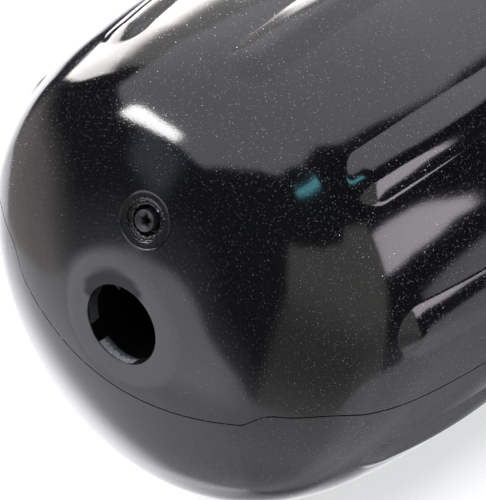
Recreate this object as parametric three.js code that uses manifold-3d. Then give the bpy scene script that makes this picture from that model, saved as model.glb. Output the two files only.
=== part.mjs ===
// Inflatable boat fender: a ribbed cylinder with domed ends and a rope hole through the middle.
// Millimetres, +Z up. The fender lies on its side with its axis along X and the valve end at -X.
// It rests on the land between its two lowest ribs. X = 0 and Y = 0 are its axis and middle, Z = 0 is the floor.

import * as THREE from 'three';
import { mergeVertices } from 'three/addons/utils/BufferGeometryUtils.js';
import Module from 'manifold-3d';

const wasm = await Module();
wasm.setup();

// Body
const fenderLength = 560;
const fenderDiameter = 165;

// Rope hole: a lip at each mouth and a slightly wider tube behind it
const lipDiameter = 25.4;
const lipDepth = 4.5;
const lipRounding = 0.6;
const tubeDiameter = 28;
const tubeShoulder = 1.3;

// End outline: a flat seat round the rope hole, then tangent arcs out to the straight side.
// Each angle is where an arc ends, from 0 square to the axis to 90 along it.
// The crown arc is the one that takes up whatever radius the others leave.
const seatDiameter = 36;
const seatBlendRadius = 20;
const seatBlendEnd = 13;
const crownEnd = 27;
const haunchRadius = 64;
const haunchEnd = 38;
const shoulderRadius = 24;
const shoulderEnd = 66;
const flankRadius = 74;
const flankEnd = 79;
const leadInRadius = 255;
const leadInEnd = 90;

// Ribs: low raised ridges along the side with rounded ends, each with a gentler and a steeper flank.
// A flank's slope goes from flankStart at the crest to flankEnd at the foot.
const ribCount = 10;
const ribHeight = 1.8;
const ribCrestRadius = 7;
const ribFootRadius = 5;
const gentleFlankStart = 8;
const gentleFlankEnd = 15;
const steepFlankStart = 15;
const steepFlankEnd = 18;
const ribInset = 33.5;
const ribEndLength = 9;

// Valve: a flanged housing let into the dome, with a needle plug standing in its well
const valveReach = 35.4;
const valveAngle = -4;
const flangeDiameter = 17.6;
const flangeThickness = 2;
const flangeChamfer = 0.4;
const stepDiameter = 12.4;
const stepDepth = 0.9;
const wellDiameter = 9;
const neckDiameter = 12.8;
const neckLength = 10;
const wellFloorThickness = 2;
const bossDiameter = 6.6;
const bossRise = 0.4;
const footThickness = 2;
const funnelDiameter = 4.6;
const funnelDepth = 1.6;
const needleHoleDiameter = 2.6;
const needleHoleDepth = 5.5;
const seatClearance = 0.3;

// Facets
const landSteps = 3;
const valveSegments = 36;
const stationGap = 2;
const ribEndShares = [0, 0.35, 0.7, 0.87, 1];

const halfLength = fenderLength / 2;
const bodyRadius = fenderDiameter / 2;
const radians = THREE.MathUtils.degToRad;

// The radius that an arc of the outline gains between two angles
function radialGain(radius, from, to) {
  return radius * (Math.sin(radians(to)) - Math.sin(radians(from)));
}

const gainedElsewhere =
  radialGain(seatBlendRadius, 0, seatBlendEnd) +
  radialGain(haunchRadius, crownEnd, haunchEnd) +
  radialGain(shoulderRadius, haunchEnd, shoulderEnd) +
  radialGain(flankRadius, shoulderEnd, flankEnd) +
  radialGain(leadInRadius, flankEnd, leadInEnd);
const crownGain = bodyRadius - seatDiameter / 2 - gainedElsewhere;
const crownRadius = crownGain / radialGain(1, seatBlendEnd, crownEnd);

const endArcs = [
  { radius: seatBlendRadius, from: 0, to: seatBlendEnd, steps: 1 },
  { radius: crownRadius, from: seatBlendEnd, to: crownEnd, steps: 3 },
  { radius: haunchRadius, from: crownEnd, to: haunchEnd, steps: 2 },
  { radius: shoulderRadius, from: haunchEnd, to: shoulderEnd, steps: 4 },
  { radius: flankRadius, from: shoulderEnd, to: flankEnd, steps: 2 },
  { radius: leadInRadius, from: flankEnd, to: leadInEnd, steps: 3 },
];

// A point of the end outline, by the distance travelled along it from the seat's edge:
// how far in from the end it lies, its radius, and the angle of the outline there
function endPoint(travel) {
  let inset = 0;
  let radius = seatDiameter / 2;
  let left = travel;
  for (const arc of endArcs) {
    const arcLength = arc.radius * radians(arc.to - arc.from);
    const turned = Math.min(left / arc.radius, radians(arc.to - arc.from));
    const start = radians(arc.from);
    inset += arc.radius * (Math.cos(start) - Math.cos(start + turned));
    radius += arc.radius * (Math.sin(start + turned) - Math.sin(start));
    if (left <= arcLength) return { travel, inset, radius, angle: start + turned };
    left -= arcLength;
  }
  return { travel, inset: inset + left, radius, angle: radians(leadInEnd) };
}

// The distance travelled to the first point for which reached says yes
function travelUntil(reached) {
  let low = 0;
  let high = halfLength + bodyRadius;
  while (high - low > 1e-6) {
    const middle = (low + high) / 2;
    if (reached(endPoint(middle))) high = middle;
    else low = middle;
  }
  return high;
}

// One side of a rib's section: the crest's arc, the flank's and the foot's, tangent to each other.
// The flank's arc is the one that takes up whatever height the others leave.
function ribSide(flankStart, flankEnd) {
  const start = radians(flankStart);
  const end = radians(flankEnd);
  const crestDrop = ribCrestRadius * (1 - Math.cos(start));
  const footRise = ribFootRadius * (1 - Math.cos(end));
  const flankRadius = (ribHeight - crestDrop - footRise) / (Math.cos(start) - Math.cos(end));
  const crestEdge = ribCrestRadius * Math.sin(start);
  const footStart = crestEdge + flankRadius * (Math.sin(end) - Math.sin(start));
  const width = footStart + ribFootRadius * Math.sin(end);
  return { start, flankRadius, crestEdge, crestDrop, footStart, width };
}

const gentleSide = ribSide(gentleFlankStart, gentleFlankEnd);
const steepSide = ribSide(steepFlankStart, steepFlankEnd);

// How high a side of the rib stands at a share of its width, from 0 at the crest to 1 at the foot
function sideHeight(side, share) {
  const offset = share * side.width;
  if (offset >= side.width) return 0;
  if (offset > side.footStart) {
    return ribFootRadius - Math.sqrt(ribFootRadius ** 2 - (side.width - offset) ** 2);
  }
  if (offset > side.crestEdge) {
    const along = offset - side.crestEdge + side.flankRadius * Math.sin(side.start);
    const drop = side.flankRadius * Math.cos(side.start) - Math.sqrt(side.flankRadius ** 2 - along ** 2);
    return ribHeight - side.crestDrop - drop;
  }
  return ribHeight - ribCrestRadius + Math.sqrt(ribCrestRadius ** 2 - offset ** 2);
}

const ribTip = travelUntil((point) => point.inset >= ribInset);
const ribFullHeight = ribTip + ribEndLength;
const ribPitch = (2 * Math.PI) / ribCount;

// How high a rib stands at a point of the outline, turned by an angle from the rib's crest.
// Round the rib's end the two sides' sections blend into each other.
function ribHeightAt(point, turn) {
  const sideways = point.radius * Math.sin(turn);
  const across = sideways / (sideways < 0 ? gentleSide.width : steepSide.width);
  const along = Math.max(0, ribFullHeight - point.travel) / ribEndLength;
  const share = Math.hypot(across, along);
  if (share >= 1) return 0;
  const steepness = share === 0 ? 0.5 : (1 + across / share) / 2;
  return THREE.MathUtils.lerp(sideHeight(gentleSide, share), sideHeight(steepSide, share), steepness);
}

// Stations along the end outline: each arc's own, and across the rib's rounded end those
// of its section
function endStations() {
  const stations = [endPoint(0)];
  let travelled = 0;
  for (const arc of endArcs) {
    const arcLength = arc.radius * radians(arc.to - arc.from);
    for (let step = 1; step <= arc.steps; step++) {
      stations.push(endPoint(travelled + (arcLength * step) / arc.steps));
    }
    travelled += arcLength;
  }
  const clearOfTip = stations.filter(
    (point) => point.travel < ribTip - stationGap || point.travel > ribFullHeight + stationGap,
  );
  const acrossTip = ribEndShares.map((share) => endPoint(ribFullHeight - share * ribEndLength));
  return [...clearOfTip, ...acrossTip].sort((a, b) => a.travel - b.travel);
}

// The closed outline of the whole body, from the tube at the valve end, out over that end,
// along the side, in over the far end and back to the tube
function bodyOutline() {
  const mouth = [
    { inset: lipDepth + tubeShoulder, radius: tubeDiameter / 2 },
    { inset: lipDepth, radius: lipDiameter / 2 },
    { inset: lipRounding, radius: lipDiameter / 2 },
    { inset: 0, radius: lipDiameter / 2 + lipRounding },
  ].map((point) => ({ ...point, travel: 0, angle: 0 }));
  const half = [...mouth, ...endStations()];
  const valveEnd = half.map((point) => ({ ...point, x: point.inset - halfLength, inward: 1 }));
  const farEnd = half.map((point) => ({ ...point, x: halfLength - point.inset, inward: -1 }));
  return [...valveEnd, ...farEnd.reverse(), valveEnd[0]];
}

// Meridians round the body, gathered where they have to follow a rib's section
function meridianTurns() {
  const gentle = [gentleSide.width, gentleSide.footStart, gentleSide.footStart / 2, gentleSide.crestEdge];
  const steep = [steepSide.crestEdge, steepSide.footStart, steepSide.width];
  const turns = [...gentle.map((offset) => -offset), 0, ...steep].map((offset) => Math.asin(offset / bodyRadius));
  const first = turns[0];
  const last = turns[turns.length - 1];
  const landTurn = ribPitch - (last - first);
  for (let step = 1; step < landSteps; step++) {
    turns.push(last + (landTurn * step) / landSteps);
  }
  return turns;
}

function bodyGeometry() {
  const outline = bodyOutline();
  const turns = meridianTurns();
  const ringCount = turns.length * ribCount;
  const profile = outline.map((point) => new THREE.Vector2(point.radius, point.x));
  const geometry = new THREE.LatheGeometry(profile, ringCount);
  geometry.rotateZ(-Math.PI / 2);
  const position = geometry.attributes.position;
  for (let ring = 0; ring <= ringCount; ring++) {
    const turn = turns[ring % turns.length];
    const rib = Math.floor(ring / turns.length) % ribCount;
    const around = rib * ribPitch + turn;
    outline.forEach((point, station) => {
      const height = ribHeightAt(point, turn);
      const radius = point.radius + height * Math.sin(point.angle);
      const x = point.x - point.inward * height * Math.cos(point.angle);
      const vertex = ring * outline.length + station;
      position.setXYZ(vertex, x, -radius * Math.sin(around), radius * Math.cos(around));
    });
  }
  return geometry;
}

function closedMesh(geometry) {
  const bare = geometry.clone();
  bare.deleteAttribute('normal');
  bare.deleteAttribute('uv');
  return mergeVertices(bare, 1e-4);
}

function toSolid(geometry) {
  const closed = closedMesh(geometry);
  const vertProperties = new Float32Array(closed.attributes.position.array);
  const triVerts = new Uint32Array(closed.index.array);
  return new wasm.Manifold(new wasm.Mesh({ numProp: 3, vertProperties, triVerts }));
}

function toGeometry(solid) {
  const mesh = solid.getMesh();
  const geometry = new THREE.BufferGeometry();
  geometry.setAttribute('position', new THREE.BufferAttribute(mesh.vertProperties, 3));
  geometry.setIndex(new THREE.BufferAttribute(mesh.triVerts, 1));
  geometry.computeVertexNormals();
  return geometry;
}

// A turned piece of the valve, from [radius, height] corners; its axis is Y
function turned(corners) {
  const profile = corners.map(([radius, height]) => new THREE.Vector2(radius, height));
  return new THREE.LatheGeometry(profile, valveSegments);
}

// Where the valve sits: square to the dome, with its flange's edge level with the surface
function valveFrame() {
  const travel = travelUntil((point) => point.radius >= valveReach);
  const place = endPoint(travel);
  const around = radians(valveAngle);
  const outward = new THREE.Vector3(
    -Math.cos(place.angle),
    -Math.sin(place.angle) * Math.sin(around),
    Math.sin(place.angle) * Math.cos(around),
  );
  const domeDrop = (flangeDiameter / 2) ** 2 / (2 * crownRadius);
  const frame = new THREE.Group();
  frame.position.set(
    place.inset - halfLength,
    -place.radius * Math.sin(around),
    place.radius * Math.cos(around),
  );
  frame.position.addScaledVector(outward, -domeDrop);
  frame.quaternion.setFromUnitVectors(new THREE.Vector3(0, 1, 0), outward);
  frame.updateMatrix();
  return frame;
}

// The stepped pocket that the housing seats in, open above the dome
function valvePocket() {
  const flangeRadius = flangeDiameter / 2 + seatClearance;
  const neckRadius = neckDiameter / 2 + seatClearance;
  const ledge = -flangeThickness - seatClearance;
  return turned([
    [0, -neckLength - seatClearance],
    [neckRadius, -neckLength - seatClearance],
    [neckRadius, ledge],
    [flangeRadius, ledge],
    [flangeRadius, flangeThickness],
    [0, flangeThickness],
  ]);
}

const wellFloor = -neckLength + wellFloorThickness;

function housingGeometry() {
  const flangeRadius = flangeDiameter / 2;
  const ventRadius = needleHoleDiameter / 2;
  return turned([
    [ventRadius, -neckLength],
    [neckDiameter / 2, -neckLength],
    [neckDiameter / 2, -flangeThickness],
    [flangeRadius, -flangeThickness],
    [flangeRadius, -flangeChamfer],
    [flangeRadius - flangeChamfer, 0],
    [stepDiameter / 2, 0],
    [stepDiameter / 2, -stepDepth],
    [wellDiameter / 2, -stepDepth],
    [wellDiameter / 2, wellFloor],
    [ventRadius, wellFloor],
    [ventRadius, -neckLength],
  ]);
}

function plugGeometry() {
  const footRadius = wellDiameter / 2 - seatClearance;
  const foot = wellFloor + seatClearance;
  return turned([
    [0, foot],
    [footRadius, foot],
    [footRadius, foot + footThickness],
    [bossDiameter / 2, foot + footThickness],
    [bossDiameter / 2, bossRise - flangeChamfer],
    [bossDiameter / 2 - flangeChamfer, bossRise],
    [funnelDiameter / 2, bossRise],
    [needleHoleDiameter / 2, bossRise - funnelDepth],
    [needleHoleDiameter / 2, bossRise - needleHoleDepth],
    [0, bossRise - needleHoleDepth],
  ]);
}

function piece(name, geometry, material) {
  const mesh = new THREE.Mesh(geometry, material);
  mesh.name = name;
  return mesh;
}

// Glossy black vinyl for the moulding, duller rubber for the valve
const vinyl = { color: 0x17171a, roughness: 0.16, metalness: 0 };
const housingRubber = { color: 0x1c1c1f, roughness: 0.42, metalness: 0 };
const plugRubber = { color: 0x2a2a2c, roughness: 0.55, metalness: 0 };

const valve = valveFrame();
const pocket = valvePocket().applyMatrix4(valve.matrix);
const bodySolid = toSolid(bodyGeometry()).subtract(toSolid(pocket));
const body = toGeometry(bodySolid);

valve.add(
  piece('valve_housing', closedMesh(housingGeometry()), new THREE.MeshStandardMaterial(housingRubber)),
  piece('valve_plug', closedMesh(plugGeometry()), new THREE.MeshStandardMaterial(plugRubber)),
);

// The moulding is drawn with a rib at its top and bottom; turned this far it rests on a land's middle
const ribMiddle = (Math.asin(steepSide.width / bodyRadius) - Math.asin(gentleSide.width / bodyRadius)) / 2;
const restTurn = ribPitch / 2 - ribMiddle;
const moulding = new THREE.Group();
moulding.add(piece('fender_body', body, new THREE.MeshStandardMaterial(vinyl)), valve);
moulding.rotation.x = restTurn;

const fender = new THREE.Group();
fender.add(moulding);
fender.updateMatrixWorld(true);
fender.position.z = -new THREE.Box3().setFromObject(moulding, true).min.z;

export default fender;
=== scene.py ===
from math import atan2, cos, degrees, hypot, pi, radians, sin, sqrt

import bmesh
import bpy
from mathutils import Matrix, Quaternion, Vector, noise


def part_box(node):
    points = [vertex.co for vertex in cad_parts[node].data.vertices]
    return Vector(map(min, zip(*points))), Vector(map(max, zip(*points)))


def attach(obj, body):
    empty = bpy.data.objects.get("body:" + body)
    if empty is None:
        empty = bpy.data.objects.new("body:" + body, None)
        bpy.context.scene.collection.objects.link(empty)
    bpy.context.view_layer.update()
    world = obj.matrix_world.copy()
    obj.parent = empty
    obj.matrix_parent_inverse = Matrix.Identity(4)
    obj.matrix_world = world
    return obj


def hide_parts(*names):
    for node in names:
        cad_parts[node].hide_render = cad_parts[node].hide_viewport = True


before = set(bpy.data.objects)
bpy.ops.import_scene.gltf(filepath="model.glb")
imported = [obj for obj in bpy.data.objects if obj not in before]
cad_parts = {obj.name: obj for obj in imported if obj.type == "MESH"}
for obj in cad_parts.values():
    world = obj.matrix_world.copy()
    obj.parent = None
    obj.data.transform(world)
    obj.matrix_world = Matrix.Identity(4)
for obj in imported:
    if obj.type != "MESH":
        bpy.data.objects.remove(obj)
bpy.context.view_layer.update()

mm = 0.001
scene = bpy.context.scene
scene.view_settings.view_transform = "Standard"

bodyLow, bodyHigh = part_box("fender_body")
halfLength = bodyHigh.x
bodyRadius = (bodyHigh.z - bodyLow.z) / 2  # over the lands between the ribs
axisHeight = bodyLow.z + bodyRadius  # the rope hole's axis above the floor

# The moulding is drawn with a rib at its top and bottom, then turned to rest on a land
restTurn = radians(18.75)
restPlace = Matrix.Translation((0, 0, axisHeight)) @ Matrix.Rotation(restTurn, 4, "X")


# Small helpers

def toLinear(hexColour):
    channels = [int(hexColour[place:place + 2], 16) / 255 for place in (0, 2, 4)]
    return [c / 12.92 if c <= 0.04045 else ((c + 0.055) / 1.055) ** 2.4 for c in channels] + [1.0]


def addNode(tree, kind, settings=None, inputs=None):
    # An input is a value, a socket, or a node whose first output is taken
    node = tree.nodes.new(kind)
    for name, value in (settings or {}).items():
        setattr(node, name, value)
    for socket, source in (inputs or {}).items():
        if isinstance(source, bpy.types.Node):
            source = source.outputs[0]
        if isinstance(source, bpy.types.NodeSocket):
            tree.links.new(source, node.inputs[socket])
        else:
            node.inputs[socket].default_value = source
    return node


def smoothStep(low, high, value):
    share = min(1.0, max(0.0, (value - low) / (high - low)))
    return share * share * (3 - 2 * share)


def meshFrom(bm, name, material):
    bmesh.ops.remove_doubles(bm, verts=bm.verts, dist=1e-6)
    bmesh.ops.recalc_face_normals(bm, faces=bm.faces)
    mesh = bpy.data.meshes.new(name)
    bm.to_mesh(mesh)
    bm.free()
    mesh.shade_smooth()
    mesh.materials.append(material)
    piece = bpy.data.objects.new(name, mesh)
    scene.collection.objects.link(piece)
    return piece


# A solid turned about the local Z axis from [radius, height] corners

def turnedSolid(corners, steps):
    bm = bmesh.new()
    verts = [bm.verts.new((radius, 0, height)) for radius, height in corners]
    edges = [bm.edges.new((a, b)) for a, b in zip(verts, verts[1:])]
    bmesh.ops.spin(bm, geom=verts + edges, cent=(0, 0, 0), axis=(0, 0, 1), dvec=(0, 0, 0),
                   angle=2 * pi, steps=steps, use_merge=True, use_duplicate=False)
    bmesh.ops.remove_doubles(bm, verts=bm.verts, dist=1e-6)
    return bm


# Materials

vinyl = {
    "colour": "0C0C0E",
    "roughness": 0.09,
    "ior": 1.54,
    "fleckColour": "B2B2B4",
    "fleckRoughness": 0.22,
    "fleckTilt": 0.75,  # how far the mica flakes lean out of the surface
    "fleckFade": (40 * mm, 76 * mm, 0.25),  # fewer show near the rope hole: from, to, share left
    "fleckSpacing": 0.42 * mm,
    "fleckShare": 0.55,
    "fleckSize": 0.39,  # of the spacing, for the largest
    "dustSpacing": 1.3 * mm,
    "dustShare": 0.65,
    "dustSize": 0.12,
    "grainSize": 0.5 * mm,
    "grainHeight": 0.008 * mm,
    "fleckEdge": 0.4,  # share of a flake over which it fades out
    "dimmestFleck": 0.2,
    "cleanHoleRadius": (14.6 * mm, 14.2 * mm),
    "cleanHoleInset": (0.2 * mm, 0.5 * mm),
    "seamColour": "050505",
    "cutAndPaintedLightColour": "8E8E90",  # where the mouth of the rope hole was trimmed, also used as painted light on the hole's lower wall
    "cutRoughness": 0.5,
    # Painted shade: the gloss left in the crescent above the rope hole
    "paintedShadeSpecular": 0.16,
}


def vinylMaterial():
    # Plasticised PVC, rotationally moulded: deep gloss black, with fine bright mica in the skin
    material = bpy.data.materials.new("moulded_pvc_vinyl")
    material.use_nodes = True
    tree = material.node_tree
    shader = tree.nodes["Principled BSDF"]
    shader.inputs["IOR"].default_value = vinyl["ior"]
    math, mapRange, vectorMath = "ShaderNodeMath", "ShaderNodeMapRange", "ShaderNodeVectorMath"
    where = addNode(tree, "ShaderNodeTexCoord")
    place = addNode(tree, "ShaderNodeMapping", {"vector_type": "POINT"},
                    {"Vector": where.outputs["Object"], "Location": (0, 0, -axisHeight)})

    # No mica shows in the rope hole, which the mould's polished core left, and little round it
    section = addNode(tree, vectorMath, {"operation": "MULTIPLY"}, {0: place, 1: (0, 1, 1)})
    outFromAxis = addNode(tree, vectorMath, {"operation": "LENGTH"}, {0: section}).outputs["Value"]
    axes = addNode(tree, "ShaderNodeSeparateXYZ", {}, {0: place})
    alongAxis = addNode(tree, math, {"operation": "ABSOLUTE"}, {0: axes})
    holeEdge, holeInside = vinyl["cleanHoleRadius"]
    holeFrom, holeTo = vinyl["cleanHoleInset"]
    narrow = addNode(tree, mapRange, {}, {"Value": outFromAxis, "From Min": holeEdge, "From Max": holeInside})
    inside = addNode(tree, mapRange, {}, {"Value": alongAxis, "From Min": halfLength - holeFrom,
                                          "From Max": halfLength - holeTo})
    inHole = addNode(tree, math, {"operation": "MULTIPLY"}, {0: narrow, 1: inside})
    dustShows = addNode(tree, math, {"operation": "SUBTRACT"}, {0: 1.0, 1: inHole})
    fadeFrom, fadeTo, fadeShare = vinyl["fleckFade"]
    fading = addNode(tree, mapRange, {}, {"Value": outFromAxis, "From Min": fadeFrom, "From Max": fadeTo,
                                          "To Min": fadeShare})
    fleckShows = addNode(tree, math, {"operation": "MULTIPLY"}, {0: dustShows, 1: fading})

    def flecks(spacing, share, size, showing):
        # One flake in a share of the cells, each of its own size and brightness, and how it leans
        cells = addNode(tree, "ShaderNodeTexVoronoi", {"feature": "F1"},
                        {"Vector": place, "Scale": 1 / spacing, "Randomness": 1.0})
        pick = addNode(tree, "ShaderNodeSeparateColor", {}, {0: cells.outputs["Color"]})
        chosen = addNode(tree, mapRange, {}, {"Value": pick, "From Min": 1 - share})
        reach = addNode(tree, math, {"operation": "MULTIPLY"}, {0: chosen, 1: size})
        depth = addNode(tree, math, {"operation": "SUBTRACT"}, {0: reach, 1: cells.outputs["Distance"]})
        shape = addNode(tree, mapRange, {}, {"Value": depth, "From Max": size * vinyl["fleckEdge"]})
        glint = addNode(tree, mapRange, {}, {"Value": pick.outputs[1], "To Min": vinyl["dimmestFleck"]})
        bright = addNode(tree, math, {"operation": "POWER"}, {0: glint, 1: 1.5})  # most are dim
        speck = addNode(tree, math, {"operation": "MULTIPLY"}, {0: shape, 1: bright})
        speck = addNode(tree, math, {"operation": "MULTIPLY"}, {0: speck, 1: showing})
        chance = addNode(tree, "ShaderNodeTexWhiteNoise", {}, {"Vector": cells.outputs["Position"]})
        lean = addNode(tree, vectorMath, {"operation": "SUBTRACT"},
                       {0: chance.outputs["Color"], 1: (0.5, 0.5, 0.5)})
        tilt = addNode(tree, math, {"operation": "MULTIPLY"}, {0: speck, 1: vinyl["fleckTilt"]})
        return speck, addNode(tree, vectorMath, {"operation": "SCALE"}, {0: lean, "Scale": tilt})

    fine, fineLean = flecks(vinyl["fleckSpacing"], vinyl["fleckShare"], vinyl["fleckSize"], fleckShows)
    coarse, coarseLean = flecks(vinyl["dustSpacing"], vinyl["dustShare"], vinyl["dustSize"], dustShows)
    specks = addNode(tree, math, {"operation": "ADD", "use_clamp": True}, {0: fine, 1: coarse})

    # The lip of the rope hole is cut and torn, so it is dull and lighter grey; the same mask paints light on
    # the lower wall of the hole
    cut = addNode(tree, "ShaderNodeAttribute", {"attribute_name": "cut"}).outputs["Fac"]
    # Painted shade: a crescent on the seat above the hole has less gloss, so its reflection is darker
    paintedShade = addNode(tree, "ShaderNodeAttribute", {"attribute_name": "paintedShade"}).outputs["Fac"]
    # The mould's parting line is matt and dark
    seam = addNode(tree, "ShaderNodeAttribute", {"attribute_name": "seam"}).outputs["Fac"]
    paintedShadeGloss = addNode(tree, mapRange, {}, {"Value": paintedShade, "To Min": 0.5, "To Max": vinyl["paintedShadeSpecular"]})
    seamGloss = addNode(tree, mapRange, {}, {"Value": seam, "From Max": 0.1, "To Min": 1.0, "To Max": 0.0})
    gloss = addNode(tree, math, {"operation": "MULTIPLY"}, {0: paintedShadeGloss, 1: seamGloss})
    tree.links.new(gloss.outputs[0], shader.inputs["Specular IOR Level"])

    colour = toLinear(vinyl["colour"])
    for share, over in ((specks.outputs[0], vinyl["fleckColour"]), (cut, vinyl["cutAndPaintedLightColour"]),
                        (seam, vinyl["seamColour"])):
        mix = addNode(tree, "ShaderNodeMix", {"data_type": "RGBA"}, {0: share, 6: colour, 7: toLinear(over)})
        colour = mix.outputs[2]
    tree.links.new(colour, shader.inputs["Base Color"])
    tree.links.new(specks.outputs[0], shader.inputs["Metallic"])
    smooth = addNode(tree, mapRange, {}, {"Value": specks, "To Min": vinyl["roughness"],
                                          "To Max": vinyl["fleckRoughness"]})
    dull = addNode(tree, math, {"operation": "ADD", "use_clamp": True}, {0: cut, 1: seam})
    rough = addNode(tree, math, {"operation": "MULTIPLY_ADD"}, {0: dull, 1: vinyl["cutRoughness"], 2: smooth})
    tree.links.new(rough.outputs[0], shader.inputs["Roughness"])

    grain = addNode(tree, "ShaderNodeTexNoise", {},
                    {"Vector": place, "Scale": 1 / vinyl["grainSize"], "Detail": 1.5, "Roughness": 0.6})
    bump = addNode(tree, "ShaderNodeBump", {},
                   {"Height": grain, "Strength": 1.0, "Distance": vinyl["grainHeight"]})
    lean = addNode(tree, vectorMath, {"operation": "ADD"}, {0: fineLean, 1: coarseLean})
    leaning = addNode(tree, vectorMath, {"operation": "ADD"}, {0: bump, 1: lean})
    normal = addNode(tree, vectorMath, {"operation": "NORMALIZE"}, {0: leaning})
    tree.links.new(normal.outputs[0], shader.inputs["Normal"])
    return material


rubber = {
    "ior": 1.52,
    "bloomSize": 1.4 * mm,
    "bloomRoughness": (-0.1, 0.15),  # what the bloom takes from the roughness and adds to it
    # Colour, bloom colour, roughness, grit size and height
    "moulded_nitrile_rubber": ("08080A", "131314", 0.15, 0.35 * mm, 0.01 * mm),
    "soft_nitrile_rubber": ("0E0E0F", "2E2E30", 0.4, 0.3 * mm, 0.02 * mm),
}


def rubberMaterial(name):
    # Moulded nitrile rubber: black, half dull, with the grit and bloom of an untrimmed part
    colour, bloomColour, roughness, gritSize, gritHeight = rubber[name]
    material = bpy.data.materials.new(name)
    material.use_nodes = True
    tree = material.node_tree
    shader = tree.nodes["Principled BSDF"]
    shader.inputs["IOR"].default_value = rubber["ior"]
    place = addNode(tree, "ShaderNodeTexCoord").outputs["Object"]
    bloom = addNode(tree, "ShaderNodeTexNoise", {},
                    {"Vector": place, "Scale": 1 / rubber["bloomSize"], "Detail": 3.0})
    colours = addNode(tree, "ShaderNodeMix", {"data_type": "RGBA"},
                      {0: bloom, 6: toLinear(colour), 7: toLinear(bloomColour)})
    tree.links.new(colours.outputs[2], shader.inputs["Base Color"])
    glossier, duller = rubber["bloomRoughness"]
    rough = addNode(tree, "ShaderNodeMapRange", {},
                    {"Value": bloom, "To Min": roughness + glossier, "To Max": roughness + duller})
    tree.links.new(rough.outputs[0], shader.inputs["Roughness"])
    grit = addNode(tree, "ShaderNodeTexNoise", {}, {"Vector": place, "Scale": 1 / gritSize, "Detail": 2.0})
    bump = addNode(tree, "ShaderNodeBump", {}, {"Height": grit, "Strength": 1.0, "Distance": gritHeight})
    tree.links.new(bump.outputs["Normal"], shader.inputs["Normal"])
    return material


# Fender body

fender = {
    "lipRadius": 12.7 * mm,
    "lipDepth": 4.5 * mm,
    "tubeRadius": 14.0 * mm,
    "tubeShoulder": 1.3 * mm,
    "seatRadius": 18.0 * mm,
    # Tangent arcs of the end outline: radius, the angle where it ends, and the station spacing.
    # The crown's radius is what is left over.
    "arcs": [
        (20.0 * mm, 13, 1.2 * mm),
        (None, 27, 2.4 * mm),
        (64.0 * mm, 38, 1.6 * mm),
        (24.0 * mm, 66, 0.9 * mm),
        (74.0 * mm, 79, 1.5 * mm),
        (255.0 * mm, 90, 4.0 * mm),
    ],
    "ribCount": 10,
    "ribHeight": 1.8 * mm,
    "ribCrest": 7.0 * mm,
    # Each side of a rib: slope at the crest's edge, slope at the foot, radius of the foot
    "gentleSide": (7, 16, 2.5 * mm),
    "steepSide": (12, 18, 4.0 * mm),
    "ribInset": 33.5 * mm,
    "ribEnd": 9.0 * mm,
    "ribStation": 0.75 * mm,
    "sideStation": 30.0 * mm,
    "around": 560,
    "ribShare": 0.68,  # share of the meridians that is gathered at the ribs
}

mouldSeam = {
    "halfWidth": 0.24 * mm,
    "depth": 0.24 * mm,
    "bowDrop": 23.0 * mm,  # the parting line bows this far under the rope hole
    "bowRadius": 102.5 * mm,
    "stepFrom": 42.0 * mm,
    "stepTo": 52.0 * mm,
    "tailDrop": 6.5 * mm,
    "tailFrom": 49.0 * mm,
    "tailTo": 70.0 * mm,
}

# Angles round the mouth are from the top towards the near side
ropeMouth = {
    "edgeRounding": 0.3 * mm,
    "notchAngle": -137,  # the torn notch in the lip
    "notchHalfWidth": 13,
    "notchDepth": 1.3 * mm,
    "notchTop": (0.5 * mm, 1.1 * mm),  # the notch starts below the lip's edge
    "nibAngle": -20,
    "nibHalfWidth": 4.0,
    "nibHeight": 1.9 * mm,
    "nibTop": (0.1 * mm, 0.6 * mm),
    "nibEnd": (2.0 * mm, 2.6 * mm),
    "tornFrom": 150,  # past this angle the lip is torn shorter
    "tornShare": 0.4,
    # Painted shade on the seat above the mouth: where it is, how far it reaches and how its edge runs
    "paintedShadeAngle": -31,
    "paintedShadeHalfSpan": 54,
    "paintedShadeRadius": 18.2 * mm,
    "paintedShadeWaver": 0.5 * mm,
    "paintedShadeEdge": 0.8 * mm,
    "paintedShadeSag": 3.4 * mm,  # how much lower the painted shade's edge is at its two ends
    "pitting": 0.22 * mm,
    "edgeWaver": 0.3 * mm,
}


def outlineArcs():
    def gain(radius, start, end):
        return radius * (sin(radians(end)) - sin(radians(start)))
    arcs = []
    start = 0
    for radius, end, spacing in fender["arcs"]:
        arcs.append([radius, start, end, spacing])
        start = end
    crown = next(arc for arc in arcs if arc[0] is None)
    others = sum(gain(arc[0], arc[1], arc[2]) for arc in arcs if arc[0])
    crown[0] = (bodyRadius - fender["seatRadius"] - others) / gain(1, crown[1], crown[2])
    return arcs, crown[0]


endArcs, crownRadius = outlineArcs()


def endPoint(travel):
    # Inset from the end, radius and outline angle at a distance travelled from the seat's edge
    inset, radius, left = 0.0, fender["seatRadius"], travel
    for arcRadius, start, end, _ in endArcs:
        turned = min(left / arcRadius, radians(end - start))
        first = radians(start)
        inset += arcRadius * (cos(first) - cos(first + turned))
        radius += arcRadius * (sin(first + turned) - sin(first))
        if left <= arcRadius * radians(end - start):
            return inset, radius, first + turned
        left -= arcRadius * radians(end - start)
    return inset + left, radius, pi / 2


def travelWhere(reached):
    low, high = 0.0, halfLength
    for _ in range(50):
        middle = (low + high) / 2
        low, high = (low, middle) if reached(*endPoint(middle)) else (middle, high)
    return high


def ribSide(startSlope, endSlope, foot):
    start, end = radians(startSlope), radians(endSlope)
    crest = fender["ribCrest"]
    crestDrop = crest * (1 - cos(start))
    flank = (fender["ribHeight"] - crestDrop - foot * (1 - cos(end))) / (cos(start) - cos(end))
    crestEdge = crest * sin(start)
    footStart = crestEdge + flank * (sin(end) - sin(start))
    return {"start": start, "flank": flank, "crestEdge": crestEdge, "crestDrop": crestDrop,
            "footStart": footStart, "foot": foot, "width": footStart + foot * sin(end)}


gentleSide = ribSide(*fender["gentleSide"])
steepSide = ribSide(*fender["steepSide"])


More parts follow.
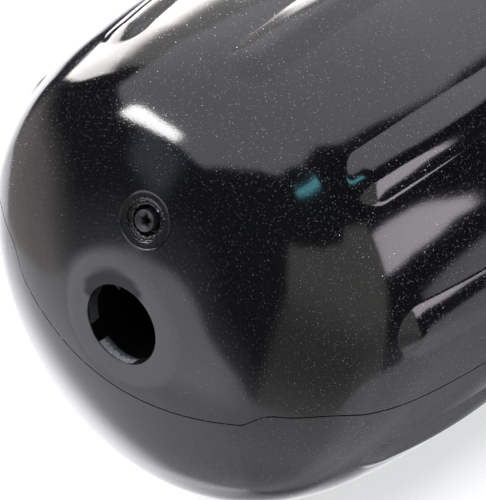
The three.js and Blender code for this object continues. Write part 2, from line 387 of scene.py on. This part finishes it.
def sideHeight(side, share):
    # Crest arc, flank arc and foot arc
    offset = share * side["width"]
    crest, foot = fender["ribCrest"], side["foot"]
    if offset > side["footStart"]:
        return foot - sqrt(foot ** 2 - (side["width"] - offset) ** 2)
    if offset > side["crestEdge"]:
        along = offset - side["crestEdge"] + side["flank"] * sin(side["start"])
        drop = side["flank"] * cos(side["start"]) - sqrt(side["flank"] ** 2 - along ** 2)
        return fender["ribHeight"] - side["crestDrop"] - drop
    return fender["ribHeight"] - crest + sqrt(crest ** 2 - offset ** 2)


ribTip = travelWhere(lambda inset, radius, angle: inset >= fender["ribInset"])
ribFull = ribTip + fender["ribEnd"]


def ribHeightAt(sideways, travel):
    across = sideways / (gentleSide if sideways < 0 else steepSide)["width"]
    along = max(0.0, ribFull - travel) / fender["ribEnd"]
    share = hypot(across, along)
    if share >= 1:
        return 0.0
    steepness = (1 + across / share) / 2 if share else 0.5
    return sideHeight(gentleSide, share) * (1 - steepness) + sideHeight(steepSide, share) * steepness


def endTravels():
    travels = []
    start = 0.0
    for arcRadius, first, last, spacing in endArcs:
        length = arcRadius * radians(last - first)
        steps = max(1, round(length / spacing))
        travels += [start + length * step / steps for step in range(steps)]
        start += length
    travels.append(start)
    margin = fender["ribStation"]
    tipSteps = round((fender["ribEnd"] + 2 * margin) / margin)
    acrossTip = [ribTip - margin + step * margin for step in range(tipSteps + 1)]
    kept = [t for t in travels if not acrossTip[0] - margin < t < acrossTip[-1] + margin]
    return sorted(kept + acrossTip)


def mouthStations():
    # From inside the tube out over the lip to the seat: inset and radius
    lip, tube, rounding = fender["lipRadius"], fender["tubeRadius"], ropeMouth["edgeRounding"]
    depth = fender["lipDepth"]
    stations = [(120 * mm, tube), (40 * mm, tube), (14 * mm, tube), (8 * mm, tube)]
    stations.append((depth + fender["tubeShoulder"], tube))
    stations += [(depth + share * fender["tubeShoulder"], lip + (tube - lip) * smoothStep(0, 1, share))
                 for share in (0.75, 0.5, 0.25)]
    steps = 8
    stations += [(depth - (depth - rounding) * step / steps, lip) for step in range(steps + 1)]
    for step in range(1, 6):
        turn = pi / 2 * step / 5
        stations.append((rounding * (1 - sin(turn)), lip + rounding * (1 - cos(turn))))
    stations += [(0.0, lip + 2.2 * mm), (0.0, lip + 3.6 * mm)]
    return stations


def bodyRevolve():
    bm = bmesh.new()
    travelLayer = bm.verts.layers.float.new("travel")
    angleLayer = bm.verts.layers.float.new("angle")
    half = [(inset, radius, -1.0, 0.0) for inset, radius in mouthStations()]
    for travel in endTravels():
        inset, radius, angle = endPoint(travel)
        half.append((inset, radius, travel, angle))
    ring = []
    for inset, radius, travel, angle in half:
        ring.append((inset - halfLength, radius, travel, angle))
    sideStart = ring[-1][0]
    sideSteps = round(-2 * sideStart / fender["sideStation"])
    for step in range(1, sideSteps):
        ring.append((sideStart * (1 - 2 * step / sideSteps), bodyRadius, halfLength, pi / 2))
    for inset, radius, travel, angle in half[::-2]:
        ring.append((halfLength - inset, radius, travel, angle))
    verts = []
    for x, radius, travel, angle in ring:
        vert = bm.verts.new((x, 0, radius))
        vert[travelLayer] = travel
        vert[angleLayer] = angle
        verts.append(vert)
    edges = [bm.edges.new((a, b)) for a, b in zip(verts, verts[1:] + verts[:1])]
    bmesh.ops.spin(bm, geom=verts + edges, cent=(0, 0, 0), axis=(1, 0, 0), dvec=(0, 0, 0),
                   angle=2 * pi, steps=fender["around"], use_merge=True, use_duplicate=False)
    bmesh.ops.remove_doubles(bm, verts=bm.verts, dist=1e-6)
    return bm, travelLayer, angleLayer


def gatherMeridians(bm):
    # Most of the meridians are moved to where they follow a rib's section
    pitch = 2 * pi / fender["ribCount"]
    ribFrom = -gentleSide["width"] * 1.06 / bodyRadius
    ribTo = steepSide["width"] * 1.06 / bodyRadius
    for vert in bm.verts:
        radius = hypot(vert.co.y, vert.co.z)
        around = atan2(-vert.co.y, vert.co.z) % (2 * pi)
        rib, share = divmod(around / pitch + 1e-9, 1.0)
        if share < fender["ribShare"]:
            turn = ribFrom + (ribTo - ribFrom) * share / fender["ribShare"]
        else:
            turn = ribTo + (pitch - ribTo + ribFrom) * (share - fender["ribShare"]) / (1 - fender["ribShare"])
        vert.co.y = -radius * sin(rib * pitch + turn)
        vert.co.z = radius * cos(rib * pitch + turn)


def raiseRibs(bm, travelLayer, angleLayer):
    pitch = 2 * pi / fender["ribCount"]
    for vert in bm.verts:
        travel = vert[travelLayer]
        if travel < ribTip:
            continue
        around = atan2(-vert.co.y, vert.co.z)
        turn = (around + pitch / 2) % pitch - pitch / 2
        radius = hypot(vert.co.y, vert.co.z)
        height = ribHeightAt(radius * sin(turn), travel)
        if height == 0:
            continue
        angle = vert[angleLayer]
        outward = -1 if vert.co.x < 0 else 1
        scale = (radius + height * sin(angle)) / radius
        vert.co.x += outward * height * cos(angle)
        vert.co.y *= scale
        vert.co.z *= scale


def tearMouth(bm):
    # A torn notch and a nib of flash in the lip of the valve end's mouth, the lip's cut colour with painted
    # light on its lower side, and a painted shade above it, where the gloss is lowered
    cutAndPaintedLightLayer = bm.verts.layers.float.new("cut")
    paintedShadeLayer = bm.verts.layers.float.new("paintedShade")
    lipBack = -halfLength + fender["lipDepth"] + fender["tubeShoulder"]
    for vert in bm.verts:
        radius = hypot(vert.co.y, vert.co.z)
        around = degrees(atan2(-vert.co.y, vert.co.z))
        depth = vert.co.x + halfLength
        # Painted shade: a crescent of lower gloss on the seat above the mouth
        if depth < 1.5 * mm and radius > fender["lipRadius"]:
            aside = abs(around - ropeMouth["paintedShadeAngle"]) / ropeMouth["paintedShadeHalfSpan"]
            waver = ropeMouth["paintedShadeWaver"] * noise.noise((around * 0.04, 0.3, 8.1))
            reach = ropeMouth["paintedShadeRadius"] - ropeMouth["paintedShadeSag"] * aside ** 2 + waver
            vert[paintedShadeLayer] = 1 - smoothStep(-ropeMouth["paintedShadeEdge"], ropeMouth["paintedShadeEdge"], radius - reach)
            vert[paintedShadeLayer] *= 1 - smoothStep(0.85, 1.0, aside)
        if radius > fender["tubeRadius"] - 0.1 * mm or vert.co.x > lipBack - 0.1 * mm:
            continue
        ragged = 2.2 * noise.noise((around * 0.35, depth / (0.9 * mm), 3.1))
        inNotch = 1 - smoothStep(0.9, 1.0, abs(around - ropeMouth["notchAngle"] + ragged)
                                 / ropeMouth["notchHalfWidth"])
        inNotch *= smoothStep(*ropeMouth["notchTop"], depth)
        inNib = 1 - smoothStep(0.0, 1.0, abs(around - ropeMouth["nibAngle"] - ragged * 0.3)
                               / ropeMouth["nibHalfWidth"])
        inNib *= smoothStep(*ropeMouth["nibTop"], depth) * (1 - smoothStep(*ropeMouth["nibEnd"], depth))
        edge = ropeMouth["edgeWaver"] * noise.noise((around * 0.22, 1.7, 5.2))
        edge *= smoothStep(2.6 * mm, fender["lipDepth"], depth)
        torn = smoothStep(ropeMouth["tornFrom"] - 2, ropeMouth["tornFrom"] + 2, abs(around))
        pitted = ropeMouth["pitting"] * noise.noise((around * 0.5, depth * 2600, 2.2))
        rough = torn * smoothStep(0.4 * mm, 1.4 * mm, depth) * pitted
        target = radius + inNotch * ropeMouth["notchDepth"] - inNib * ropeMouth["nibHeight"] + edge + rough
        target = min(target, fender["tubeRadius"])
        vert.co.y *= target / radius
        vert.co.z *= target / radius
        vert.co.x -= torn * (ropeMouth["tornShare"] + 0.25 * noise.noise((around * 0.3, 4.4, 1.0))) * depth
        if vert.co.x < 0 and depth > ropeMouth["edgeRounding"]:
            # Painted light: the hole's wall takes more of the light grey cut colour towards its lower, near
            # side, and the torn lip takes it in full, partly as its real torn surface
            shaded = smoothStep(-60, -140, around) if around < 0 else 0.0
            vert[cutAndPaintedLightLayer] = max(0.05 + 0.15 * shaded, torn) * (1 - inNotch)


def seamHeight(side):
    across = abs(side)
    bow = -mouldSeam["bowDrop"] + across ** 2 / (2 * mouldSeam["bowRadius"])
    tail = -mouldSeam["tailDrop"] * (1 - smoothStep(mouldSeam["tailFrom"], mouldSeam["tailTo"], across))
    share = smoothStep(mouldSeam["stepFrom"], mouldSeam["stepTo"], across)
    return bow * (1 - share) + tail * share


def scoreSeam(bm):
    # The parting surface is flattened by shifting the mesh, cut by three planes, and shifted back
    for vert in bm.verts:
        vert.co.z -= seamHeight(vert.co.y)
    seamLayer = bm.verts.layers.float.new("seam")
    middle = []
    for offset in (-mouldSeam["halfWidth"], 0.0, mouldSeam["halfWidth"]):
        cut = bmesh.ops.bisect_plane(bm, geom=bm.verts[:] + bm.edges[:] + bm.faces[:], dist=1e-7,
                                     plane_co=(0, 0, offset), plane_no=(0, 0, 1))
        if offset == 0.0:
            middle = [item for item in cut["geom_cut"] if isinstance(item, bmesh.types.BMVert)]
    for vert in bm.verts:
        vert.co.z += seamHeight(vert.co.y)
    bmesh.ops.recalc_face_normals(bm, faces=bm.faces)
    bm.normal_update()
    moves = []
    for vert in middle:
        if hypot(vert.co.y, vert.co.z) < fender["seatRadius"]:
            continue
        uneven = 1 + 0.5 * noise.noise(vert.co * 90)
        moves.append((vert, vert.normal * mouldSeam["depth"] * uneven))
    for vert, move in moves:
        vert.co -= move
        vert[seamLayer] = 1.0


def valveFrame():
    # The valve sits square to the dome, its flange's edge level with the surface
    travel = travelWhere(lambda inset, radius, angle: radius >= valve["reach"])
    inset, radius, angle = endPoint(travel)
    around = radians(valve["angle"])
    outward = Vector((-cos(angle), -sin(angle) * sin(around), sin(angle) * cos(around)))
    drop = valve["flangeRadius"] ** 2 / (2 * crownRadius)
    centre = Vector((inset - halfLength, -radius * sin(around), radius * cos(around)))
    turn = Vector((0, 0, 1)).rotation_difference(outward)
    return restPlace @ Matrix.Translation(centre - outward * drop) @ turn.to_matrix().to_4x4()


# Valve

valve = {
    "reach": 35.4 * mm,
    "angle": -4.0,
    "flangeRadius": 8.8 * mm,
    "flangeThickness": 2.0 * mm,
    "stepRadius": 6.2 * mm,
    "stepDepth": 0.9 * mm,
    "wellRadius": 4.5 * mm,
    "neckRadius": 6.4 * mm,
    "neckLength": 10.0 * mm,
    "floorHeight": -8.0 * mm,
    "ventRadius": 1.3 * mm,
    "gap": 0.12 * mm,
    "steps": 180,
}

plug = {
    "bossRadius": 3.3 * mm,
    "bossRise": 0.4 * mm,
    "footRadius": 4.2 * mm,
    "footHeight": -7.7 * mm,
    "footThickness": 2.0 * mm,
    "funnelRadius": 2.9 * mm,
    "funnelDepth": 0.8 * mm,
    "holeRadius": 1.5 * mm,
    "holeDepth": 5.5 * mm,
}


def pocketCutter():
    flange = valve["flangeRadius"] + valve["gap"]
    neck = valve["neckRadius"] + valve["gap"]
    ledge = -valve["flangeThickness"] - valve["gap"]
    deep = -valve["neckLength"] - valve["gap"]
    bm = turnedSolid([(0, deep), (neck, deep), (neck, ledge), (flange, ledge), (flange, 2 * mm), (0, 2 * mm)],
                     valve["steps"])
    bm.transform(valveFrame())
    return meshFrom(bm, "pocket_cutter", bpy.data.materials.new("cutter"))


def bodyPiece(material):
    bm, travelLayer, angleLayer = bodyRevolve()
    gatherMeridians(bm)
    raiseRibs(bm, travelLayer, angleLayer)
    tearMouth(bm)
    scoreSeam(bm)
    bm.transform(restPlace)
    body = meshFrom(bm, "fender_moulding", material)
    cutter = pocketCutter()
    pocket = body.modifiers.new("pocket", "BOOLEAN")
    pocket.operation = "DIFFERENCE"
    pocket.solver = "EXACT"
    pocket.object = cutter
    bpy.context.view_layer.update()
    cutMesh = bpy.data.meshes.new_from_object(body.evaluated_get(bpy.context.evaluated_depsgraph_get()))
    body.modifiers.clear()
    body.data = cutMesh
    bpy.data.objects.remove(cutter)
    cutMesh.shade_smooth()
    cutMesh.set_sharp_from_angle(angle=radians(24))
    weights = body.modifiers.new("even_normals", "WEIGHTED_NORMAL")
    weights.keep_sharp = True
    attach(body, "root")
    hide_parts("fender_body")
    return body


def housingPiece(material):
    v = valve
    corners = [
        (v["ventRadius"], -v["neckLength"]), (v["neckRadius"], -v["neckLength"]),
        (v["neckRadius"], -v["flangeThickness"]), (v["flangeRadius"], -v["flangeThickness"]),
        (v["flangeRadius"], -0.12 * mm), (v["flangeRadius"] - 0.04 * mm, 0.06 * mm),
        (v["flangeRadius"] - 0.14 * mm, 0.11 * mm), (v["flangeRadius"] - 0.26 * mm, 0.04 * mm),
        (v["flangeRadius"] - 0.36 * mm, -0.08 * mm), (v["flangeRadius"] - 0.7 * mm, -0.12 * mm),
        (v["stepRadius"] + 0.9 * mm, -0.12 * mm), (v["stepRadius"] + 0.35 * mm, -0.08 * mm),
        (v["stepRadius"], -0.2 * mm), (v["stepRadius"] - 0.1 * mm, -v["stepDepth"] + 0.2 * mm),
        (v["stepRadius"] - 0.35 * mm, -v["stepDepth"]),
        (v["wellRadius"] + 0.8 * mm, -v["stepDepth"] + 0.05 * mm),
        (v["wellRadius"] + 0.3 * mm, -v["stepDepth"] + 0.12 * mm),
        (v["wellRadius"], -v["stepDepth"] - 0.15 * mm),
        (v["wellRadius"], v["floorHeight"] + 3 * mm), (v["wellRadius"], v["floorHeight"]),
        (v["ventRadius"], v["floorHeight"]), (v["ventRadius"], -v["neckLength"]),
    ]
    bm = turnedSolid(corners, v["steps"])
    for vert in bm.verts:
        # Flash and torn bits round the step, and a slightly uneven flange
        radius = hypot(vert.co.x, vert.co.y)
        nearStep = 1 - smoothStep(0.5 * mm, 1.6 * mm, abs(radius - 5.6 * mm))
        top = smoothStep(-2.0 * mm, -1.2 * mm, vert.co.z)
        rough = noise.fractal(vert.co * 1300, 0.6, 2.0, 3)
        vert.co.z += nearStep * top * 0.13 * mm * rough
        swell = 1 + nearStep * top * 0.03 * noise.noise(vert.co * 900 + Vector((7, 1, 4)))
        vert.co.x *= swell
        vert.co.y *= swell
    bm.transform(valveFrame())
    housing = meshFrom(bm, "valve_flange", material)
    housing.data.set_sharp_from_angle(angle=radians(50))
    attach(housing, "root")
    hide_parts("valve_housing")
    return housing


def plugPiece(material):
    p = plug
    rise = p["bossRise"]
    corners = [(0, p["footHeight"]), (p["footRadius"], p["footHeight"]),
               (p["footRadius"], p["footHeight"] + p["footThickness"]),
               (p["bossRadius"], p["footHeight"] + p["footThickness"]), (p["bossRadius"], rise - 0.3 * mm)]
    corners += [(p["bossRadius"] - 0.3 * mm * (1 - cos(turn)), rise - 0.3 * mm * (1 - sin(turn)))
                for turn in (pi / 6, pi / 3, pi / 2)]
    for share in (0.0, 0.2, 0.4, 0.6, 0.8, 1.0):
        corners.append((p["funnelRadius"] + (p["holeRadius"] - p["funnelRadius"]) * share,
                        rise - 0.05 * mm - p["funnelDepth"] * share))
    corners += [(p["holeRadius"] * 0.9, rise - p["holeDepth"] * 0.6),
                (p["holeRadius"] * 0.7, rise - p["holeDepth"]), (0, rise - p["holeDepth"])]
    bm = turnedSolid(corners, 96)
    for vert in bm.verts:
        # The needle hole is torn to a star, and the funnel dished unevenly
        radius = hypot(vert.co.x, vert.co.y)
        if vert.co.z < rise - p["holeDepth"] * 0.5 or radius > p["funnelRadius"]:
            continue
        around = atan2(vert.co.y, vert.co.x)
        ragged = 0.1 * sin(5 * around + 0.7) + 0.3 * noise.noise((cos(around) * 1.9, sin(around) * 1.9, 2.0))
        near = 1 - smoothStep(p["holeRadius"], p["funnelRadius"], radius)
        vert.co.x *= 1 + ragged * near
        vert.co.y *= 1 + ragged * near
    bm.transform(valveFrame())
    boss = meshFrom(bm, "needle_plug", material)
    boss.data.set_sharp_from_angle(angle=radians(55))
    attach(boss, "root")
    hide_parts("valve_plug")
    return boss


# Camera

view = {
    "place": Vector((-0.81306, -0.33517, 0.52007)),  # from the fender's middle, before it is turned to rest
    "forward": Vector((0.6905, 0.3907, -0.6088)),
    "roll": 13.98,
    "focalPixels": 2800,
    "framePixels": 500,
}


def addCamera():
    camera = bpy.data.cameras.new("camera")
    camera.sensor_width = 36
    camera.lens = view["focalPixels"] * camera.sensor_width / view["framePixels"]
    camera.clip_end = 200
    rig = bpy.data.objects.new("camera", camera)
    aim = view["forward"].to_track_quat("-Z", "Y") @ Quaternion((0, 0, 1), radians(view["roll"]))
    rig.rotation_mode = "QUATERNION"
    rig.rotation_quaternion = restPlace.to_quaternion() @ aim
    rig.location = restPlace @ view["place"]
    scene.collection.objects.link(rig)
    scene.camera = rig


# Studio: a pale floor, and soft panels in the world for the gloss to reflect

floorSheet = {
    "size": 18.0,
    "colour": "F4F4F4",
    "lift": 0.62,
}

# Directions are azimuth from +X towards +Y and elevation, in degrees, before the turn to rest
studio = {
    "ambient": (0.052, "E4E8F6"),
    "ceiling": {
        "edge": [(0, 30), (30, 28), (50, 28), (68, 29.5), (84, 30), (95, 27), (104, 23), (113, 16),
                 (122, 12.5), (135, 14), (150, 16.5), (159, 16), (166, 22), (173, 28), (181, 34),
                 (193, 45), (211, 61), (240, 69), (287, 73), (315, 62), (326, 56), (332, 48), (345, 36),
                 (360, 30)],
        "soft": (-1.2, 1.2), "level": 1.8, "colour": "F8F5FC",
    },
    "floor": {
        "edge": [(0, -30), (40, -20), (58, -19), (74, -22), (84, -29), (93, -41), (106, -41), (119, -37),
                 (128, -29), (139, -20), (146, -15.5), (155, -12.5), (164, -11.5), (171, -13), (177, -18),
                 (183, -27), (191, -36), (199, -44), (214, -44), (228, -40), (241, -33), (259, -25),
                 (282, -22), (290, -18.5), (297, -14), (306, -10), (330, -20), (360, -30)],
        "levels": [(0, 0.9), (28, 1.5), (40, 1.9), (55, 2.5), (67, 3.0), (78, 2.6), (86, 2.05), (93, 1.5),
                   (105, 1.25), (120, 1.28), (150, 1.35), (180, 1.3), (200, 1.1), (220, 1.1), (235, 1.25),
                   (250, 1.42), (268, 1.45), (285, 1.2), (300, 1.08), (309, 1.0), (316, 0.78), (326, 0.6),
                   (338, 0.42), (350, 0.6), (360, 0.9)],
        "soft": (-1.5, 2.0), "colour": "F3F3F7",
        "nadir": (-78, -60, 0.68),  # straight below, the fender shades its floor
        "skirt": (18, (112, 298, 12), 0.32),  # a dim band above the floor's edge: height, span and level
    },
    # Panels: the top and bottom edge by azimuth, how soft each is, the span and its softness, and the
    # level and colour. A panel that fades is full above one elevation and a share of that below another.
    "panels": {
        "bar": {"top": [(124, 12), (130, 17.4), (139, 19.8), (152, 22)],
                "bottom": [(124, 9), (139, 13.4), (152, 17)],
                "soft": (1.0, 1.0), "span": (127, 149, 1.5), "light": (20, "FFFFFF")},
        "barGlow": {"top": [(134, 12), (156, 13)], "bottom": [(134, 2), (156, 2)],
                    "soft": (5.0, 5.0), "span": (139, 155, 7), "light": (0.6, "DCE6FF")},
        "sideWhite": {"top": [(36, 15), (53, 15), (70, 16), (97, 15)],
                      "bottom": [(36, -8), (64, -7), (75, -7), (82, -4), (92, 2), (96, 8)],
                      "soft": (8.0, 2.5), "span": (42, 94, 3), "light": (8.2, "FFFBF9")},
        "topStrip": {"top": [(30, 23), (52, 23)], "bottom": [(30, 12), (52, 12)],
                     "soft": (3.0, 2.0), "span": (36, 48, 3), "light": (6.0, "FFFBF9")},
        "valance": {"top": [(36, 32), (100, 32)], "bottom": [(36, 16), (100, 16)],
                    "soft": (2.0, 6.0), "span": (40, 88, 12), "light": (1.1, "FFFBF9"), "below": "ceiling"},
        "window": {"top": [(276, 33), (283, 33), (298, 30.5), (304, 28), (306, 25.5), (308, 22.5), (314, 18)],
                   "bottom": [(276, 16), (294, 16), (302, 15.5), (306, 16.3), (312, 14)],
                   "soft": (1.6, 1.6), "span": (279, 311.3, 3), "light": (5.2, "FFF7FF")},
        "front": {"top": [(190, 12), (200, 13.5), (209, 17), (220, 23), (230, 28), (248, 34), (265, 40),
                          (282, 38)],
                  "bottom": [(190, -60), (282, -60)],
                  "soft": (3.0, 3.0), "span": (197.5, 277.5, 2.5), "light": (0.86, "F2EFE8"),
                  "fade": (-18, 8, 0.44)},
        "lowRight": {"top": [(290, -6), (296, -2), (300, 2.5), (307, 4), (330, 4)],
                     "bottom": [(290, -30), (330, -30)],
                     "soft": (2.5, 4.0), "span": (296, 325, 5), "light": (1.2, "F0F0FA")},
        "warmLeft": {"top": [(74, -12), (124, -16)], "bottom": [(74, -60), (124, -60)],
                     "soft": (14.0, 3.0), "span": (82, 120, 22), "light": (0.92, "EDE4E2")},
        "nearFloor": {"top": [(100, 0), (200, 0)], "bottom": [(100, -49), (200, -49)],
                      "soft": (2.0, 14.0), "span": (129, 192, 14), "light": (0.78, "F2F0FF"), "on": "floor"},
        "teal": {"top": [(186, 14), (203, 41), (224, 55), (255, 64), (276, 66)],
                 "bottom": [(186, 10), (203, 37), (224, 51), (255, 60), (276, 62)],
                 "soft": (4.0, 4.0), "span": (208, 259, 9), "light": (9.5, "6CBECC")},
    },
}


def addWorld():
    world = bpy.data.worlds.new("studio")
    world.use_nodes = True
    scene.world = world
    tree = world.node_tree
    tree.nodes.clear()
    math = "ShaderNodeMath"
    where = addNode(tree, "ShaderNodeTexCoord")
    turned = addNode(tree, "ShaderNodeVectorRotate", {"rotation_type": "X_AXIS"},
                     {"Vector": where.outputs["Generated"], "Angle": -restTurn})
    axes = addNode(tree, "ShaderNodeSeparateXYZ", {}, {0: turned})
    turn = addNode(tree, math, {"operation": "ARCTAN2"}, {0: axes.outputs["Y"], 1: axes.outputs["X"]})
    wrapped = addNode(tree, math, {"operation": "FLOORED_MODULO"}, {0: turn, 1: 2 * pi})
    azimuth = addNode(tree, math, {"operation": "MULTIPLY"}, {0: wrapped, 1: 180 / pi})
    azimuthShare = addNode(tree, math, {"operation": "DIVIDE"}, {0: azimuth, 1: 360.0})
    rise = addNode(tree, math, {"operation": "ARCSINE"}, {0: axes.outputs["Z"]})
    height = addNode(tree, math, {"operation": "MULTIPLY"}, {0: rise, 1: 180 / pi})

    def byAzimuth(points, low=-90.0, high=90.0):
        # A smooth line through azimuth and value, between low and high
        node = addNode(tree, "ShaderNodeFloatCurve", {}, {"Value": azimuthShare})
        line = node.mapping.curves[0]
        places = [(degree / 360, (value - low) / (high - low)) for degree, value in points]
        line.points[0].location = (0.0, places[0][1])
        line.points[-1].location = (1.0, places[-1][1])
        for place in places:
            if 0 < place[0] < 1:
                line.points.new(*place)
        for point in line.points:
            point.handle_type = "AUTO_CLAMPED"
        node.mapping.update()
        return addNode(tree, math, {"operation": "MULTIPLY_ADD"}, {0: node, 1: high - low, 2: low})

    def softStep(value, low, high):
        return addNode(tree, "ShaderNodeMapRange", {"interpolation_type": "SMOOTHSTEP"},
                       {"Value": value, "From Min": low, "From Max": high})

    def allOf(masks):
        whole = masks[0]
        for mask in masks[1:]:
            whole = addNode(tree, math, {"operation": "MULTIPLY"}, {0: whole, 1: mask})
        return whole

    def withinSpan(first, last, soft):
        return [softStep(azimuth, first - soft / 2, first + soft / 2),
                softStep(azimuth, last + soft / 2, last - soft / 2)]

    def inverse(mask):
        return addNode(tree, math, {"operation": "SUBTRACT"}, {0: 1.0, 1: mask})

    def fading(low, high, share):
        return addNode(tree, math, {"operation": "MULTIPLY_ADD"},
                       {0: softStep(height, low, high), 1: 1 - share, 2: share})

    ceiling, ground = studio["ceiling"], studio["floor"]
    above = addNode(tree, math, {"operation": "SUBTRACT"}, {0: height, 1: byAzimuth(ceiling["edge"])})
    onCeiling = softStep(above, *ceiling["soft"])
    below = addNode(tree, math, {"operation": "SUBTRACT"}, {0: byAzimuth(ground["edge"]), 1: height})
    onFloor = softStep(below, *ground["soft"])
    floorLight = allOf([onFloor, byAzimuth(ground["levels"], 0.0, 4.0), fading(*ground["nadir"])])
    reach, span, skirtLevel = ground["skirt"]
    skirt = allOf([softStep(below, -reach, 0.0), inverse(onFloor)] + withinSpan(*span))
    lit = [(onCeiling, ceiling["level"], ceiling["colour"]), (floorLight, 1.0, ground["colour"]),
           (skirt, skirtLevel, ground["colour"])]
    for panel in studio["panels"].values():
        softTop, softBottom = panel["soft"]
        toTop = addNode(tree, math, {"operation": "SUBTRACT"}, {0: byAzimuth(panel["top"]), 1: height})
        toBottom = addNode(tree, math, {"operation": "SUBTRACT"}, {0: height, 1: byAzimuth(panel["bottom"])})
        masks = [softStep(toTop, -softTop / 2, softTop / 2),
                 softStep(toBottom, -softBottom / 2, softBottom / 2)]
        masks += withinSpan(*panel["span"])
        masks.append(onFloor if panel.get("on") == "floor" else inverse(onFloor))
        if panel.get("below") == "ceiling":
            masks.append(inverse(onCeiling))
        if "fade" in panel:
            masks.append(fading(*panel["fade"]))
        lit.append((allOf(masks), *panel["light"]))

    ambientLevel, ambientColour = studio["ambient"]
    ambient = [ambientLevel * channel for channel in toLinear(ambientColour)[:3]]
    total = addNode(tree, "ShaderNodeCombineXYZ", {}, dict(enumerate(ambient)))
    for mask, level, colour in lit:
        total = addNode(tree, "ShaderNodeVectorMath", {"operation": "MULTIPLY_ADD"},
                        {0: mask, 1: [level * channel for channel in toLinear(colour)[:3]], 2: total})
    background = addNode(tree, "ShaderNodeBackground", {}, {"Color": total, "Strength": 1.0})
    addNode(tree, "ShaderNodeOutputWorld", {}, {"Surface": background})
    world.cycles.sampling_method = "MANUAL"
    world.cycles.sample_map_resolution = 1024


def addFloor():
    bm = bmesh.new()
    bmesh.ops.create_grid(bm, x_segments=1, y_segments=1, size=floorSheet["size"] / 2)
    mesh = bpy.data.meshes.new("floor")
    bm.to_mesh(mesh)
    bm.free()
    floor = bpy.data.objects.new("floor", mesh)
    scene.collection.objects.link(floor)
    # Seamless studio paper, matt and nearly white
    material = bpy.data.materials.new("studio_paper")
    material.use_nodes = True
    shader = material.node_tree.nodes["Principled BSDF"]
    shader.inputs["Base Color"].default_value = toLinear(floorSheet["colour"])
    shader.inputs["Roughness"].default_value = 0.9
    shader.inputs["Specular IOR Level"].default_value = 0.1
    # The paper is white to the eye and in mirrors, with no more light on the fender
    tree = material.node_tree
    seen = addNode(tree, "ShaderNodeLightPath")
    direct = addNode(tree, "ShaderNodeMath", {"operation": "MAXIMUM"},
                     {0: seen.outputs["Is Camera Ray"], 1: seen.outputs["Is Glossy Ray"]})
    either = addNode(tree, "ShaderNodeMath", {"operation": "MAXIMUM"},
                     {0: direct, 1: seen.outputs["Is Transmission Ray"]})
    lift = addNode(tree, "ShaderNodeMath", {"operation": "MULTIPLY"}, {0: either, 1: floorSheet["lift"]})
    tree.links.new(lift.outputs[0], shader.inputs["Emission Strength"])
    shader.inputs["Emission Color"].default_value = (1, 1, 1, 1)
    mesh.materials.append(material)
    floor.visible_glossy = False


addCamera()
print("camera placed")
addWorld()
addFloor()
print("studio lit")
bodyPiece(vinylMaterial())
print("body moulded")
housingPiece(rubberMaterial("moulded_nitrile_rubber"))
plugPiece(rubberMaterial("soft_nitrile_rubber"))
print("valve seated")
